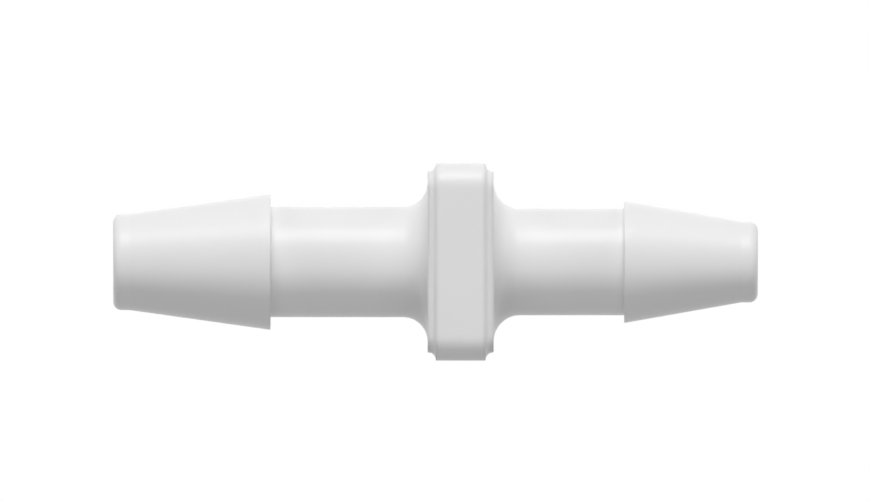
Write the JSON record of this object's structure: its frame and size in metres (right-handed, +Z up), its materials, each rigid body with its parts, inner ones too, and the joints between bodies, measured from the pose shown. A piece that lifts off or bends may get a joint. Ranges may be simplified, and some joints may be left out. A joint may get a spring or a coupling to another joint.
{
  "type": "reducing hose nipple",
  "caption": "Straight reducing hose nipple: a barbed end for a 6 mm hose and one for a 5 mm hose, with a square collar between them and a stepped bore through.",
  "frame": {"origin": "middle of the collar's lower flat, which the nipple lies on", "axes": "+X along the flow axis towards the small end, +Z up out of the lower flat, Y across the collar"},
  "size_m": [0.0393, 0.012, 0.012],
  "materials": {
    "moulded_plastic": "white thermoplastic with a fine satin skin, as it leaves the mould"
  },
  "bodies": {
    "root": {"nipple_body": "moulded_plastic"}
  },
  "joints": []
}
